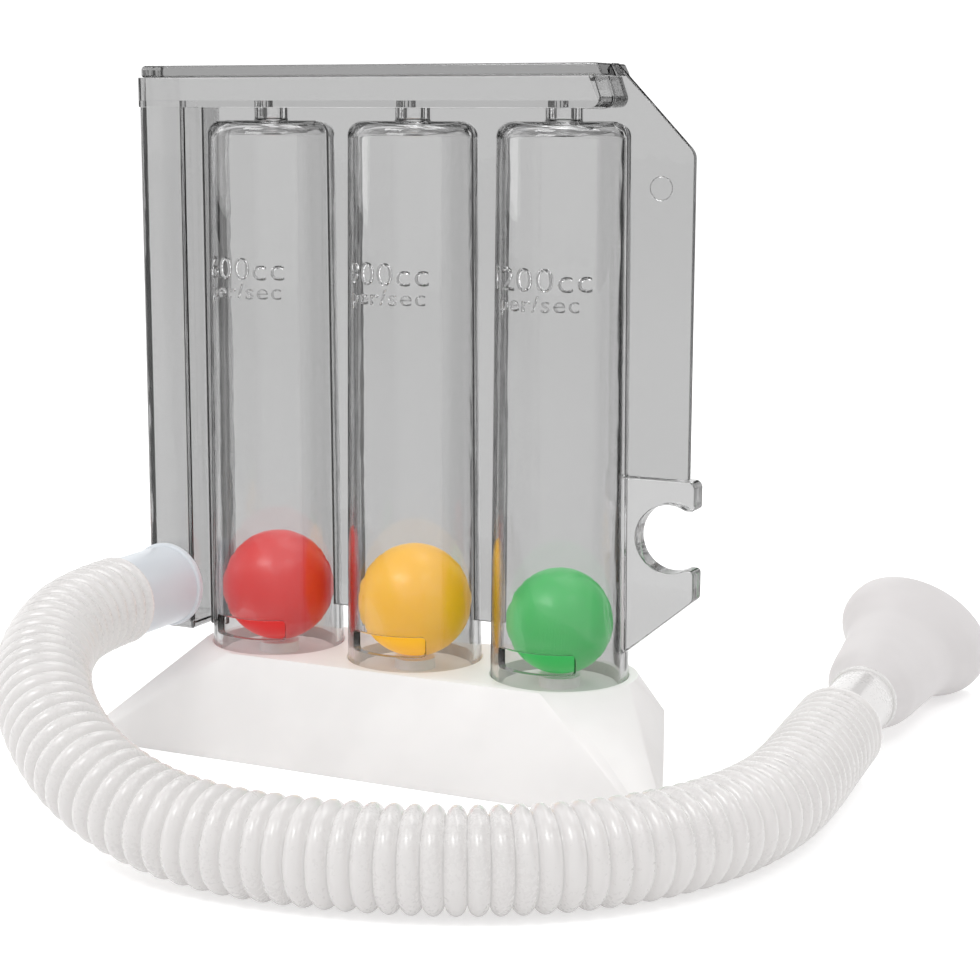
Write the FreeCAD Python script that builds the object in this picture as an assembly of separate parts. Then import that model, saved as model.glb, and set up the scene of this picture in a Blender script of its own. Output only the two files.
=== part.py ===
"""Three-ball incentive spirometer, in millimetres.

+Z is up and the tubes' air windows face -Y. The origin is on the floor, under the middle of the base.
"""

import math
import os

import FreeCAD
import Part

os.makedirs("parts", exist_ok=True)

V = FreeCAD.Vector
UP = V(0, 0, 1)
FORWARD = V(0, -1, 0)

# Tube row
tube_pitch = 35.2
row_y = 6.0
tube_foot_od = 30.0
tube_top_od = 28.2
tube_wall = 1.2
tube_foot_wall = 1.7
tube_rise = 117.5
shoulder_radius = 3.0
neck_od = 7.6
neck_bore = 4.6
neck_length = 2.9
neck_fillet = 0.6

# Air windows at the foot of each tube
window_width = 18.0
window_height = 4.4
window_sill = 3.2
window_corner = 1.0

# Balls
red_ball_diameter = 25.2
yellow_ball_diameter = 25.2
green_ball_diameter = 23.0
ball_gap = 0.3

# Base
base_height = 20.5
base_depth = 47.0
base_front_width = 141.0
base_back_width = 106.0
base_corner_radius = 4.0
skirt_front_height = 1.8
skirt_back_height = 11.0
plateau_margin = 1.8
plateau_side_flat = 1.6
base_wall = 1.8
socket_depth = 8.0
socket_fit = 0.15
seat_recess = 2.3
seat_post_od = 9.0

# Air duct at the left
duct_width = 11.7
duct_gap = 3.0
duct_wall = 1.5
duct_foot = 22.5
duct_foot_chamfer = 0.7
duct_edge_radius = 0.8

# Port on the duct
port_height = 33.0
port_od = 14.8
port_bore = 11.8
port_throat = 8.2
port_length = 14.0
port_flange_od = 17.4
port_flange = 1.2

# Manifold over the tubes
channel_depth = 16.0
tray_height = 6.4
tray_wall = 1.4
tray_end = 12.7
tray_end_slant = 2.2
tray_corner = 2.0
lid_thickness = 2.6
lid_step = 0.4
lid_end = 11.7
lid_end_slant = 1.3
lid_corner = 1.0
lid_rib_height = 1.5
lid_rib_wall = 1.0
lid_rib_gap = 0.2

# Panels between duct and tubes
web_thickness = 1.6
web_foot = 30.3

# Fin and hose clip at the right
fin_thickness = 1.6
fin_reach = 29.0
fin_slope_foot = 132.0
fin_slope_reach = 11.7
fin_corner = 3.0
clip_thickness = 5.0
clip_reach = 31.1
clip_top = 65.0
clip_foot = 26.0
clip_bore = 14.4
clip_centre_reach = 25.4
clip_centre_height = 52.6
clip_mouth_rise = 6.2
clip_lip_foot = 12.6
clip_corner = 1.6
clip_tip_corner = 1.0
clip_tip_radius = 0.7

# Breathing hose and its cuffs
hose_od = 19.6
hose_bore = 16.2
hose_cuff_od = 18.0
hose_cuff_length = 20.0
cuff_rim_rise = 0.6
cuff_rim_width = 1.8
cuff_fit = 0.1
mouth_cuff_length = 24.0
mouth_cuff_wall = 1.4
mouth_cuff_shoulder_od = 18.0
mouth_cuff_shoulder = 1.2

# Mouthpiece: distance from the cuff, half width and half height of each section
mouthpiece_wall = 1.3
spigot_length = 14.0
mouthpiece_roll = 27.0
mouthpiece_sections = [
    (0.0, 7.2, 7.0),
    (4.0, 8.6, 8.0),
    (9.0, 10.2, 8.9),
    (24.0, 11.6, 9.2),
    (37.0, 13.0, 9.6),
    (44.0, 15.4, 10.8),
    (50.0, 17.6, 12.0),
    (56.0, 18.2, 12.6),
    (60.0, 18.0, 12.4),
]

# Places that follow from the sizes above
tube_x = {"red": -tube_pitch, "yellow": 0.0, "green": tube_pitch}
ball_diameter = {
    "red": red_ball_diameter,
    "yellow": yellow_ball_diameter,
    "green": green_ball_diameter,
}
first_x = tube_x["red"]
last_x = tube_x["green"]
tube_foot_z = base_height - socket_depth
tube_top_z = base_height + tube_rise
tray_foot_z = tube_top_z + neck_length
tray_top_z = tray_foot_z + tray_height
lid_top_z = tray_top_z + lid_thickness
duct_right = first_x - tube_foot_od / 2 - duct_gap
duct_left = duct_right - duct_width
duct_x = (duct_left + duct_right) / 2
channel_front = row_y - channel_depth / 2
mouth_cuff_od = clip_bore
mouth_cuff_bore = mouth_cuff_od - 2 * mouth_cuff_wall

# Middle line of the hose: out of its cuff, down to the floor, round the front and along the right
hose_start = V(duct_x, channel_front - port_flange - hose_cuff_length, port_height)
hose_lie = 10.0
hose_route = [
    hose_start,
    V(duct_x, -38.0, port_height),
    V(-54.8, -53.4, 30.4),
    V(-46.5, -67.8, 26.8),
    V(-35.1, -79.6, 22.2),
    V(-21.3, -88.4, 17.0),
    V(-5.6, -92.7, 12.4),
    V(11.1, -93.1, 10.2),
    V(27.9, -91.5, hose_lie),
    V(44.2, -87.7, hose_lie),
    V(59.5, -81.4, hose_lie),
    V(73.5, -71.8, hose_lie),
    V(84.6, -58.8, hose_lie),
    V(91.9, -43.2, hose_lie),
    V(95.1, -26.5, hose_lie),
    V(94.7, -9.8, hose_lie),
    V(93.2, 6.6, hose_lie),
    V(92.4, 22.6, 10.6),
]


def disc(radius, length, place, axis=UP):
    return Part.makeCylinder(radius, length, place, axis)


def ring(outer, inner, length, place, axis=UP):
    return disc(outer, length, place, axis).cut(disc(inner, length, place, axis))


def outline(corners, radii):
    """A closed flat wire through the corners, with a tangent arc at each corner whose radius isn't 0."""
    edges = []
    ends = []
    count = len(corners)
    for i in range(count):
        corner = V(corners[i][0], corners[i][1], 0)
        back = V(corners[i - 1][0], corners[i - 1][1], 0) - corner
        ahead = V(corners[(i + 1) % count][0], corners[(i + 1) % count][1], 0) - corner
        back.normalize()
        ahead.normalize()
        if radii[i] == 0:
            ends.append((corner, corner))
            continue
        half = back.getAngle(ahead) / 2
        reach = radii[i] / math.tan(half)
        middle = back + ahead
        middle.normalize()
        start = corner + back * reach
        stop = corner + ahead * reach
        crown = corner + middle * (radii[i] / math.sin(half) - radii[i])
        edges.append((2 * i, Part.Arc(start, crown, stop).toShape()))
        ends.append((start, stop))
    for i in range(count):
        start = ends[i][1]
        stop = ends[(i + 1) % count][0]
        edges.append((2 * i + 1, Part.makeLine(start, stop)))
    edges.sort(key=lambda pair: pair[0])
    return Part.Wire([edge for _, edge in edges])


def panel(corners, radii, thickness):
    """A flat upright plate with its corners given as (x, z), centred on the tube row."""
    flat = Part.Face(outline(corners, radii)).extrude(V(0, 0, thickness))
    flat.translate(V(0, 0, -thickness / 2))
    flat.rotate(V(0, 0, 0), V(1, 0, 0), 90)
    flat.translate(V(0, row_y, 0))
    return flat


def soften(solid, places, radius):
    """Rounds the edges that run front to back through the given (x, z) places."""
    chosen = []
    for edge in solid.Edges:
        centre = edge.BoundBox.Center
        straight = edge.BoundBox.XLength < 0.01 and edge.BoundBox.ZLength < 0.01
        for x, z in places:
            if straight and math.hypot(centre.x - x, centre.z - z) < 0.05:
                chosen.append(edge)
    return solid.makeFillet(radius, chosen)


def base_form(inset, top, drop):
    """The sloped block of the base, its walls moved in by inset and its skirt lowered by drop."""
    lean = (base_front_width - base_back_width) / 2 / base_depth
    side = inset * math.sqrt(1 + lean * lean)
    front = base_front_width / 2 - side - lean * inset
    back = base_back_width / 2 - side + lean * inset
    half_depth = base_depth / 2 - inset
    corner = base_corner_radius - inset
    foot = outline(
        [(-front, -half_depth), (front, -half_depth), (back, half_depth), (-back, half_depth)],
        [corner] * 4,
    )
    slope = (skirt_back_height - skirt_front_height) / base_depth
    rise = FreeCAD.Matrix()
    rise.A32 = slope
    rise.A34 = (skirt_front_height + skirt_back_height) / 2 - drop
    skirt = foot.transformGeometry(rise)
    plateau_half_depth = tube_foot_od / 2 + plateau_margin - inset
    plateau_half_width = last_x + plateau_half_depth
    plateau = outline(
        [
            (-plateau_half_width, -plateau_half_depth),
            (plateau_half_width, -plateau_half_depth),
            (plateau_half_width, plateau_half_depth),
            (-plateau_half_width, plateau_half_depth),
        ],
        [plateau_half_depth - plateau_side_flat / 2] * 4,
    )
    plateau.translate(V(0, row_y, top))
    return Part.makeLoft([foot, skirt, plateau], True, True)


def make_base():
    """The hollow base, with a groove for each tube and a sunken floor with a post under each ball."""
    groove_outer = tube_foot_od / 2 + socket_fit
    groove_inner = tube_foot_od / 2 - tube_foot_wall - socket_fit
    seat_floor = base_height - seat_recess
    form = base_form(0, base_height, 0)
    base = form.cut(base_form(base_wall, base_height - base_wall, base_wall / 3))
    socket_foot = tube_foot_z - base_wall
    for x in tube_x.values():
        collar = disc(groove_outer + base_wall, base_height - socket_foot, V(x, row_y, socket_foot))
        base = base.fuse(collar.common(form))
    for x in tube_x.values():
        groove = ring(groove_outer, groove_inner, socket_depth, V(x, row_y, tube_foot_z))
        hollow_height = seat_floor - base_wall - socket_foot
        hollow = disc(groove_inner - base_wall, hollow_height, V(x, row_y, socket_foot))
        seat = ring(groove_outer, seat_post_od / 2, seat_recess, V(x, row_y, seat_floor))
        base = base.cut(groove).cut(hollow).cut(seat)
    return base.removeSplitter()


def tube_form(foot_inset, inset, top, neck_radius, fillet):
    """A tapered round form with a rounded shoulder and a neck up to the manifold, about its own axis."""
    foot_radius = tube_foot_od / 2 - foot_inset
    top_radius = tube_top_od / 2 - inset
    bend = shoulder_radius - inset / 2
    diagonal = 1 - math.sqrt(0.5)
    foot = V(foot_radius, 0, tube_foot_z)
    side_end = V(top_radius, 0, top - bend)
    crown = V(top_radius - bend * diagonal, 0, top - bend * diagonal)
    shoulder_end = V(top_radius - bend, 0, top)
    neck_foot = V(neck_radius + fillet, 0, top)
    neck_blend = V(neck_radius + fillet * diagonal, 0, top + fillet * diagonal)
    neck_side = V(neck_radius, 0, top + fillet)
    neck_end = V(neck_radius, 0, tray_foot_z)
    axis_top = V(0, 0, tray_foot_z)
    axis_foot = V(0, 0, tube_foot_z)
    edges = [
        Part.makeLine(axis_foot, foot),
        Part.makeLine(foot, side_end),
        Part.Arc(side_end, crown, shoulder_end).toShape(),
        Part.makeLine(shoulder_end, neck_foot),
    ]
    if fillet > 0:
        edges.append(Part.Arc(neck_foot, neck_blend, neck_side).toShape())
    edges += [
        Part.makeLine(neck_side, neck_end),
        Part.makeLine(neck_end, axis_top),
        Part.makeLine(axis_top, axis_foot),
    ]
    return Part.Face(Part.Wire(edges)).revolve(V(0, 0, 0), UP, 360)


def tube_skin(x):
    """The outside of one tube and its neck, filled."""
    skin = tube_form(0, 0, tube_top_z, neck_od / 2, neck_fillet)
    skin.translate(V(x, row_y, 0))
    return skin


def window_form():
    """The air window's cutter: a sector about the tube's axis, facing the front, with rounded corners."""
    half_turn = math.degrees(math.asin(window_width / tube_foot_od))
    inner = tube_foot_od / 2 - 2 * tube_foot_wall
    outer = tube_foot_od / 2 + tube_foot_wall
    sill = base_height + window_sill
    head = sill + window_height
    corners = [V(inner, 0, sill), V(outer, 0, sill), V(outer, 0, head), V(inner, 0, head), V(inner, 0, sill)]
    side = Part.Face(Part.makePolygon(corners))
    side.rotate(V(0, 0, 0), UP, -90 - half_turn)
    sector = side.revolve(V(0, 0, 0), UP, 2 * half_turn)
    rays = [e for e in sector.Edges if e.BoundBox.ZLength < 0.01 and abs(e.Length - (outer - inner)) < 0.01]
    return sector.makeFillet(window_corner, rays)


def make_tube(x):
    space = tube_form(tube_foot_wall, tube_wall, tube_top_z - tube_wall, neck_bore / 2, 0)
    window = window_form()
    space.translate(V(x, row_y, 0))
    window.translate(V(x, row_y, 0))
    return tube_skin(x).cut(space).cut(window)


def make_web(left, right, foot):
    """A thin panel in the plane of the tube axes, fitted round the tubes that it joins."""
    corners = [(left, foot), (right, foot), (right, tray_foot_z), (left, tray_foot_z)]
    web = panel(corners, [0] * 4, web_thickness)
    for x in tube_x.values():
        web = web.cut(tube_skin(x))
    return web


def make_air_duct():
    foot = duct_foot
    duct = Part.makeBox(duct_width, channel_depth, tray_foot_z - foot, V(duct_left, channel_front, foot))
    uprights = [edge for edge in duct.Edges if edge.BoundBox.ZLength > 1]
    duct = duct.makeFillet(duct_edge_radius, uprights)
    foot_edges = [edge for edge in duct.Edges if edge.BoundBox.ZMax < foot + 0.01]
    duct = duct.makeChamfer(duct_foot_chamfer, foot_edges)
    space = Part.makeBox(
        duct_width - 2 * duct_wall,
        channel_depth - 2 * duct_wall,
        tray_foot_z - foot - duct_wall,
        V(duct_left + duct_wall, channel_front + duct_wall, foot + duct_wall),
    )
    throat = disc(port_throat / 2, duct_wall, V(duct_x, channel_front + duct_wall, port_height), FORWARD)
    return duct.cut(space).cut(throat)


def make_port():
    """The spigot for the hose: a flange against the duct and a thin round nose with a narrower throat."""
    face = V(duct_x, channel_front, port_height)
    port = disc(port_flange_od / 2, port_flange, face, FORWARD)
    port = port.fuse(disc(port_od / 2, port_flange + port_length, face, FORWARD))
    nose_face = face + FORWARD * port_flange
    port = port.cut(disc(port_throat / 2, port_flange, face, FORWARD))
    return port.cut(disc(port_bore / 2, port_length, nose_face, FORWARD))


def tray_outline(inset, foot, top):
    """Corners of the channel seen from the front: a square left end and a right end that leans in."""
    left = duct_left + inset
    right = last_x + tray_end - inset
    return [(left, foot), (right, foot), (right - tray_end_slant, top), (left, top)]


def tray_form():
    """The outside of the manifold's channel, filled."""
    return panel(tray_outline(0, tray_foot_z, tray_top_z), [0, tray_corner, 0, 0], channel_depth)


def make_manifold_tray():
    tray = tray_form()
    space = panel(
        tray_outline(tray_wall, tray_foot_z + tray_wall, tray_top_z),
        [0] * 4,
        channel_depth - 2 * tray_wall,
    )
    tray = tray.cut(space)
    for x in tube_x.values():
        tray = tray.cut(disc(neck_bore / 2, tray_wall, V(x, row_y, tray_foot_z)))
    duct_mouth = Part.makeBox(
        duct_width - 2 * duct_wall,
        channel_depth - 2 * duct_wall,
        tray_wall,
        V(duct_left + duct_wall, channel_front + duct_wall, tray_foot_z),
    )
    return tray.cut(duct_mouth)


def lid_form(corner):
    """The lid's plate: it stands a step inside the channel's rim and passes its right end."""
    left = duct_left + lid_step
    right = last_x + lid_end
    return panel(
        [(left, tray_top_z), (right, tray_top_z), (right - lid_end_slant, lid_top_z), (left, lid_top_z)],
        [0, 0, corner, corner],
        channel_depth - 2 * lid_step,
    )


def make_manifold_lid():
    rib_outer = tray_wall + lid_rib_gap
    rib_inner = rib_outer + lid_rib_wall
    rib_foot = tray_top_z - lid_rib_height
    rib_end = last_x + tray_end - tray_end_slant
    rib = Part.makeBox(
        rib_end - rib_outer - duct_left - rib_outer,
        channel_depth - 2 * rib_outer,
        lid_rib_height,
        V(duct_left + rib_outer, channel_front + rib_outer, rib_foot),
    )
    rib_space = Part.makeBox(
        rib_end - rib_inner - duct_left - rib_inner,
        channel_depth - 2 * rib_inner,
        lid_rib_height,
        V(duct_left + rib_inner, channel_front + rib_inner, rib_foot),
    )
    return lid_form(lid_corner).fuse(rib.cut(rib_space))


def make_grip_fin():
    edge = last_x + fin_reach
    fin = panel(
        [
            (last_x, clip_top),
            (edge, clip_top),
            (edge, fin_slope_foot),
            (last_x + fin_slope_reach, lid_top_z),
            (last_x, lid_top_z),
        ],
        [0, 0, fin_corner, 0, 0],
        fin_thickness,
    )
    return fin.cut(tube_skin(last_x)).cut(tray_form()).cut(lid_form(0))


def make_hose_clip():
    edge = last_x + clip_reach
    centre_x = last_x + clip_centre_reach
    mouth_top = clip_centre_height + clip_mouth_rise
    mouth_foot = clip_centre_height - clip_mouth_rise
    lip_foot = clip_centre_height - clip_lip_foot
    body = panel(
        [
            (last_x, clip_top),
            (edge, clip_top),
            (edge, mouth_top),
            (centre_x, mouth_top),
            (centre_x, mouth_foot),
            (edge, mouth_foot),
            (edge, lip_foot),
            (last_x + tube_foot_od / 2 - 1, clip_foot),
            (last_x, clip_foot),
        ],
        [0, clip_corner, clip_tip_corner, 0, 0, clip_tip_corner, clip_corner, 0, 0],
        clip_thickness,
    )
    back_y = row_y + clip_thickness / 2
    hole = disc(clip_bore / 2, clip_thickness, V(centre_x, back_y, clip_centre_height), FORWARD)
    body = body.cut(hole).cut(tube_skin(last_x))
    reach = math.sqrt((clip_bore / 2) ** 2 - clip_mouth_rise**2)
    tips = [(centre_x + reach, mouth_top), (centre_x + reach, mouth_foot)]
    return soften(body, tips, clip_tip_radius)


def make_ball(colour):
    radius = ball_diameter[colour] / 2
    return Part.makeSphere(radius, V(tube_x[colour], row_y, base_height + ball_gap + radius))


def hose_path():
    """Straight runs joined by tangent arcs; prints the smallest radius and returns the wire."""
    edges = []
    here = hose_route[0]
    radii = []
    for i in range(1, len(hose_route) - 1):
        point = hose_route[i]
        back = hose_route[i - 1] - point
        ahead = hose_route[i + 1] - point
        reach = 0.45 * min(back.Length, ahead.Length)
        back.normalize()
        ahead.normalize()
        half = back.getAngle(ahead) / 2
        radius = reach * math.tan(half)
        radii.append(round(radius, 1))
        middle = back + ahead
        middle.normalize()
        start = point + back * reach
        stop = point + ahead * reach
        crown = point + middle * (radius / math.sin(half) - radius)
        edges.append(Part.makeLine(here, start))
        edges.append(Part.Arc(start, crown, stop).toShape())
        here = stop
    edges.append(Part.makeLine(here, hose_route[-1]))
    print("hose radii", radii)
    return Part.Wire(edges)


def sweep(path, radius):
    direction = hose_route[1] - hose_route[0]
    circle = Part.Wire(Part.makeCircle(radius, hose_route[0], direction))
    return path.makePipeShell([circle], True, False)


def make_hose():
    path = hose_path()
    hose = sweep(path, hose_od / 2).cut(sweep(path, hose_bore / 2))
    section = math.pi / 4 * (hose_od**2 - hose_bore**2)
    ratio = hose.Volume / (section * path.Length)
    print("hose length", round(path.Length, 1), "volume ratio", round(ratio, 5))
    return hose


def make_cuff(outer, bore, length, place, axis, rim_at):
    """A plain sleeve with a rounded rim bead of its own at one end, from rim_at along it."""
    sleeve = disc(outer, length, place, axis)
    bead = disc(outer + cuff_rim_rise, cuff_rim_width, place + axis * rim_at, axis)
    rims = [edge for edge in bead.Edges if edge.Closed and edge.BoundBox.DiagonalLength > 0.1]
    bead = bead.makeFillet(cuff_rim_rise, rims)
    return sleeve.fuse(bead).cut(disc(bore, length, place, axis))


def make_hose_cuff():
    place = V(duct_x, channel_front - port_flange, port_height)
    return make_cuff(hose_cuff_od / 2, port_od / 2 + cuff_fit, hose_cuff_length, place, FORWARD, 0)


def hose_end_axis():
    axis = hose_route[-1] - hose_route[-2]
    axis.normalize()
    return axis


def make_mouth_cuff():
    """The smaller cuff, with a shoulder that closes the end of the hose."""
    place = hose_route[-1]
    axis = hose_end_axis()
    bore = mouth_cuff_bore / 2
    rim_at = mouth_cuff_length - cuff_rim_width
    cuff = make_cuff(mouth_cuff_od / 2, bore, mouth_cuff_length, place, axis, rim_at)
    return cuff.fuse(ring(mouth_cuff_shoulder_od / 2, bore, mouth_cuff_shoulder, place, axis))


def mouthpiece_form(inset):
    wires = []
    for along, half_width, half_height in mouthpiece_sections:
        section = Part.Ellipse(V(0, 0, along), half_width - inset, half_height - inset)
        wires.append(Part.Wire(section.toShape()))
    return Part.makeLoft(wires, True, False)


def make_mouthpiece():
    spigot_radius = mouth_cuff_bore / 2 - cuff_fit
    bore = spigot_radius - mouthpiece_wall
    floor = disc(mouthpiece_sections[-1][1], mouthpiece_wall, V(0, 0, 0))
    shell = mouthpiece_form(0).cut(mouthpiece_form(mouthpiece_wall).cut(floor))
    shell = shell.fuse(disc(spigot_radius, spigot_length, V(0, 0, -spigot_length)))
    shell = shell.cut(disc(bore, spigot_length + mouthpiece_wall, V(0, 0, -spigot_length)))
    axis = hose_end_axis()
    shell.rotate(V(0, 0, 0), UP, mouthpiece_roll)
    place = FreeCAD.Placement(hose_route[-1] + axis * mouth_cuff_length, FreeCAD.Rotation(UP, axis))
    shell.Placement = place.multiply(shell.Placement)
    return shell


def make_parts():
    parts = {"base": make_base()}
    for colour, x in tube_x.items():
        parts["tube_" + colour] = make_tube(x)
        parts["ball_" + colour] = make_ball(colour)
    parts["web_duct"] = make_web(duct_right, first_x, duct_foot)
    parts["web_left"] = make_web(first_x, 0, web_foot)
    parts["web_right"] = make_web(0, last_x, web_foot)
    parts["air_duct"] = make_air_duct()
    parts["port"] = make_port()
    parts["manifold_tray"] = make_manifold_tray()
    parts["manifold_lid"] = make_manifold_lid()
    parts["grip_fin"] = make_grip_fin()
    parts["hose_clip"] = make_hose_clip()
    parts["hose"] = make_hose()
    parts["hose_cuff"] = make_hose_cuff()
    parts["mouth_cuff"] = make_mouth_cuff()
    parts["mouthpiece"] = make_mouthpiece()
    return parts


for name, shape in make_parts().items():
    print(name, "solids", len(shape.Solids), "valid", shape.isValid(), "volume", round(shape.Volume, 1))
    shape.exportStep("parts/" + name + ".step")
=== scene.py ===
import math

import bmesh
import bpy
from bpy.props import FloatProperty, FloatVectorProperty, IntProperty, PointerProperty
from mathutils import Matrix, Quaternion, Vector


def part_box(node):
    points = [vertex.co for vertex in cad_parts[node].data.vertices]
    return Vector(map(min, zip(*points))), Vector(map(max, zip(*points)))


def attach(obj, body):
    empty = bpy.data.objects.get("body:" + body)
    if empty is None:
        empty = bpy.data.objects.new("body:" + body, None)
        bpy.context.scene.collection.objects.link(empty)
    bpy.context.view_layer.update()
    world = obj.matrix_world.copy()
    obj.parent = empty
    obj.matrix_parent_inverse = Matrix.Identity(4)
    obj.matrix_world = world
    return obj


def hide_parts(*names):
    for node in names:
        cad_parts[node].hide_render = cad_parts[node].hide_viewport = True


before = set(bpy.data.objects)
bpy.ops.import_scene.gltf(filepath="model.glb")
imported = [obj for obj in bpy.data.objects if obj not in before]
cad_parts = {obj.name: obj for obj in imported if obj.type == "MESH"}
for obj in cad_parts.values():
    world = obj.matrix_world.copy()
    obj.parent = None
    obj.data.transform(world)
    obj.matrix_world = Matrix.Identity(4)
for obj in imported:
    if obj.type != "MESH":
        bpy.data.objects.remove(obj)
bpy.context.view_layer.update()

bl_info = {
    "name": "Three-ball incentive spirometer",
    "version": (1, 0, 0),
    "blender": (4, 5, 0),
    "location": "3D View > Sidebar > Spirometer",
    "description": "Builds the visible pieces of a three-ball incentive spirometer round its packed frame",
    "category": "Object",
}

# Places that come from the frame, in metres
BALL_COLOURS = ("red", "yellow", "green")
UP = Vector((0, 0, 1))
FORWARD = Vector((0, -1, 0))


def box_middle(node):
    low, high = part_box(node)
    return (low + high) / 2


def axis_x(colour):
    return box_middle("tube_" + colour).x


def axis_foot(colour):
    """The point on the floor below a tube's axis."""
    return Vector((axis_x(colour), ROW_Y, 0))


ROW_Y = box_middle("tube_red").y
TUBE_LOW, TUBE_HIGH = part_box("tube_red")
DUCT_LOW, DUCT_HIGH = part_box("air_duct")
PORT_LOW, PORT_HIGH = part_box("port")
TRAY_LOW, TRAY_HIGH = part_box("manifold_tray")
LID_LOW, LID_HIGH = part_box("manifold_lid")
WEB_LOW, WEB_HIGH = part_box("web_left")
FIN_LOW, FIN_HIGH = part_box("grip_fin")
CLIP_LOW, CLIP_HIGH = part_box("hose_clip")
BASE_LOW, BASE_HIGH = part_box("base")
CUFF_LOW, CUFF_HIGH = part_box("hose_cuff")

# The hose's middle line, the same points as in the part's source
HOSE_ROUTE = [
    (-0.05905, -0.0232, 0.0330),
    (-0.05905, -0.0375, 0.0330),
    (-0.0548, -0.0534, 0.0304),
    (-0.0465, -0.0678, 0.0268),
    (-0.0351, -0.0796, 0.0222),
    (-0.0213, -0.0884, 0.0170),
    (-0.0056, -0.0927, 0.0124),
    (0.0111, -0.0931, 0.0102),
    (0.0279, -0.0915, 0.0100),
    (0.0442, -0.0877, 0.0100),
    (0.0595, -0.0814, 0.0100),
    (0.0735, -0.0718, 0.0100),
    (0.0846, -0.0588, 0.0100),
    (0.0919, -0.0432, 0.0100),
    (0.0951, -0.0265, 0.0100),
    (0.0947, -0.0098, 0.0100),
    (0.0932, 0.0066, 0.0100),
    (0.0924, 0.0226, 0.0106),
]
HOSE_EXIT = Vector(HOSE_ROUTE[0])
HOSE_END = Vector(HOSE_ROUTE[-1])
HOSE_END_AXIS = (HOSE_END - Vector(HOSE_ROUTE[-2])).normalized()

# Mouthpiece: distance from the cuff, half width and half height of each section
MOUTHPIECE_SECTIONS = [
    (0.0000, 0.0072, 0.0070),
    (0.0040, 0.0086, 0.0080),
    (0.0090, 0.0102, 0.0089),
    (0.0240, 0.0116, 0.0092),
    (0.0370, 0.0130, 0.0096),
    (0.0440, 0.0154, 0.0108),
    (0.0500, 0.0176, 0.0120),
    (0.0560, 0.0182, 0.0126),
    (0.0600, 0.0180, 0.0124),
]

FLOW_MARKS = {
    "red": ("600cc", "per/sec"),
    "yellow": ("900cc", "per/sec"),
    "green": ("1200cc", "per/sec"),
}
FULL_FIGURES = 5
SECOND_LINE_SHARE = 0.93

# Direction of the weld seam's axis on each ball
SEAM_AXES = {"red": (0.45, -0.3, 0.85), "yellow": (-0.3, -0.35, 0.9), "green": (0.2, 0.5, 0.84)}

# Small sizes of surfaces and edges, in metres
WAVE_DEPTH = 0.0006
GRAIN_DEPTH = 0.00012
MILKY_GRAIN_DEPTH = 0.0001
MILKY_SPREAD = 0.003
CUFF_EDGE = 0.0002
WELD_DISTANCE = 0.000001
SPIGOT_TIP_STEP = 0.0004
SPIGOT_TIP_LENGTH = 0.0005
SPIGOT_SEAM_STEP = 0.0003
SPIGOT_SEAM_LENGTH = 0.0002

# Degrees of arc in one step of a rounded corner
ARC_STEP = 7.5

# Least sideways part of the normal of a face that faces left or right
STEEP = 0.7


# Settings that a user would change


def length(name, millimetres, description):
    """A size in metres, given in millimetres."""
    return FloatProperty(
        name=name, description=description, default=millimetres / 1000, min=0.0, unit="LENGTH", precision=4
    )


def colour(name, value, description):
    return FloatVectorProperty(
        name=name, description=description, default=value, size=3, min=0.0, max=1.0, subtype="COLOR"
    )


def share(name, value, description):
    return FloatProperty(
        name=name, description=description, default=value, min=0.0, max=1.0, subtype="FACTOR"
    )


def angle(name, degrees, description):
    return FloatProperty(
        name=name, description=description, default=math.radians(degrees), subtype="ANGLE"
    )


def number(name, value, description):
    return FloatProperty(name=name, description=description, default=value, min=0.0)


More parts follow.
